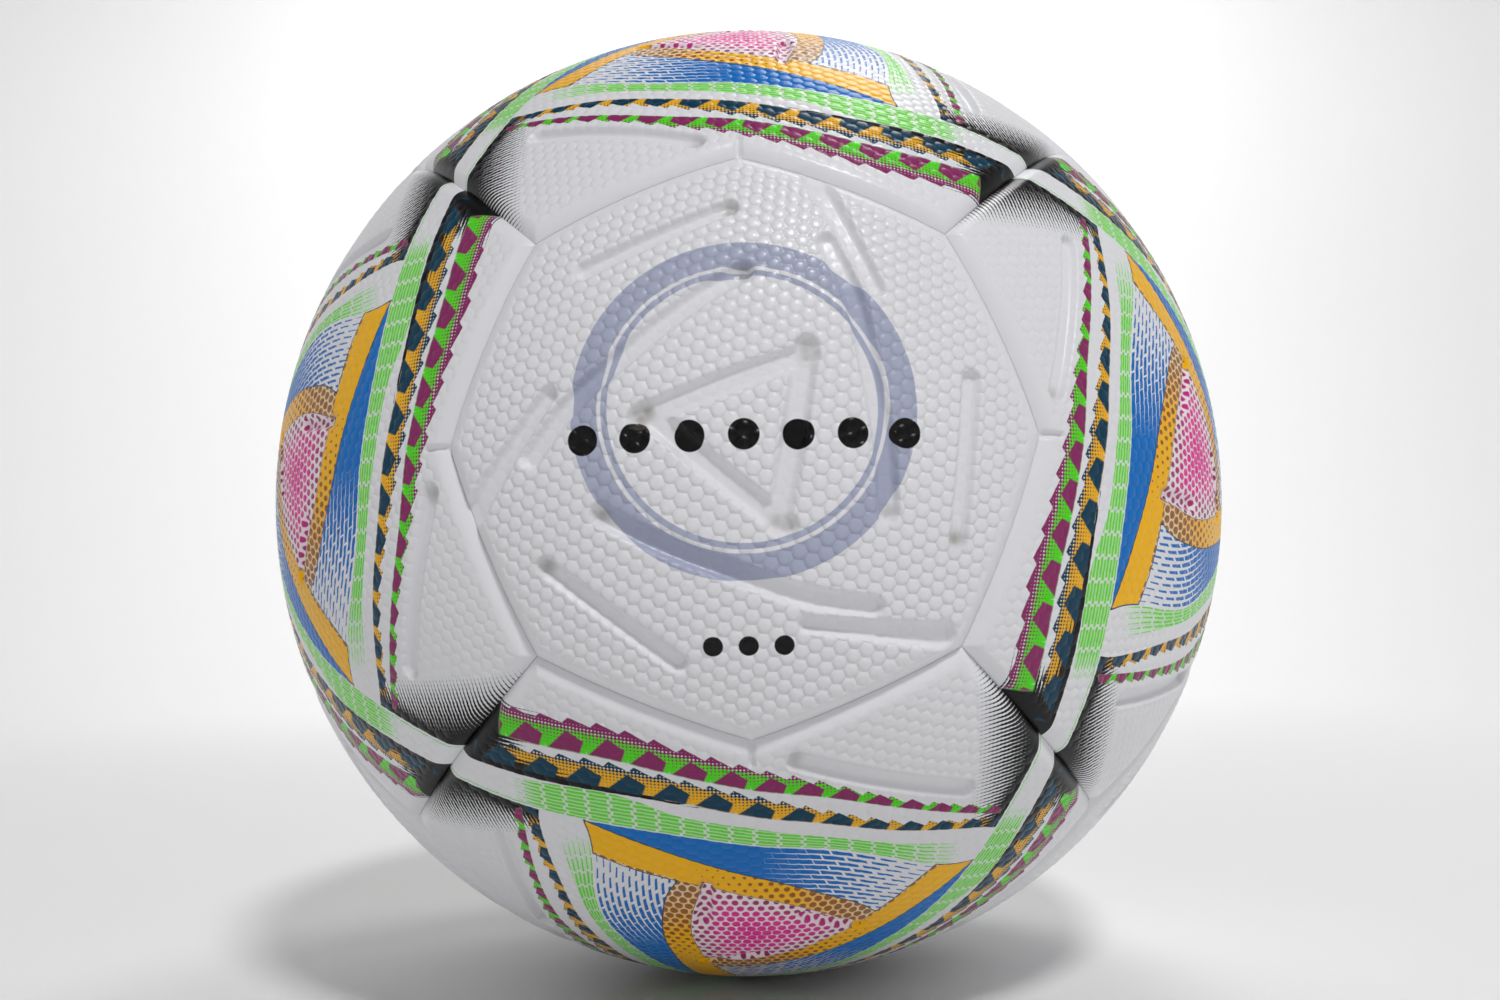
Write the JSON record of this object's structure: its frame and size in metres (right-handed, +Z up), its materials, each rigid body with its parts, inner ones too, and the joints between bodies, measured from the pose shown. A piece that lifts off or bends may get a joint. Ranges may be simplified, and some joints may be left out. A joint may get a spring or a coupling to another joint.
{
  "type": "soccer ball",
  "caption": "Size 5 soccer ball of thermally bonded octagon and triangle panels on foam, over a textile carcass and a rubber bladder with a recessed needle valve.",
  "frame": {"origin": "centre of the ball", "axes": "+Z up, -Y towards the front octagon panel, +Y out through the valve in the middle of the back octagon panel"},
  "size_m": [0.22, 0.2199, 0.22],
  "materials": {
    "cover_white": "satin white polyurethane with fine raised dots",
    "cover_printed": "satin polyurethane with fine raised dots, printed in orange, blue, green, teal, plum, magenta and black on white",
    "foam": "fine closed-cell foam",
    "carcass_textile": "plain woven polyester with a bonding film",
    "bladder_rubber": "smooth butyl rubber",
    "valve_rubber": "moulded rubber",
    "core_rubber": "soft self-sealing rubber"
  },
  "bodies": {
    "root": {"bladder": "bladder_rubber", "carcass": "carcass_textile", "cover_octagon_back": "cover_white", "cover_octagon_front": "cover_white", "cover_octagon_lower_left": "cover_white", "cover_octagon_lower_right": "cover_white", "cover_octagon_upper_left": "cover_white", "cover_octagon_upper_right": "cover_white", "cover_triangle_back_bottom": "cover_printed", "cover_triangle_back_left": "cover_printed", "cover_triangle_back_right": "cover_printed", "cover_triangle_back_top": "cover_printed", "cover_triangle_front_bottom": "cover_printed", "cover_triangle_front_left": "cover_printed", "cover_triangle_front_right": "cover_printed", "cover_triangle_front_top": "cover_printed", "foam_octagon_back": "foam", "foam_octagon_front": "foam", "foam_octagon_lower_left": "foam", "foam_octagon_lower_right": "foam", "foam_octagon_upper_left": "foam", "foam_octagon_upper_right": "foam", "foam_triangle_back_bottom": "foam", "foam_triangle_back_left": "foam", "foam_triangle_back_right": "foam", "foam_triangle_back_top": "foam", "foam_triangle_front_bottom": "foam", "foam_triangle_front_left": "foam", "foam_triangle_front_right": "foam", "foam_triangle_front_top": "foam", "valve_core": "core_rubber", "valve_housing": "valve_rubber"}
  },
  "joints": []
}
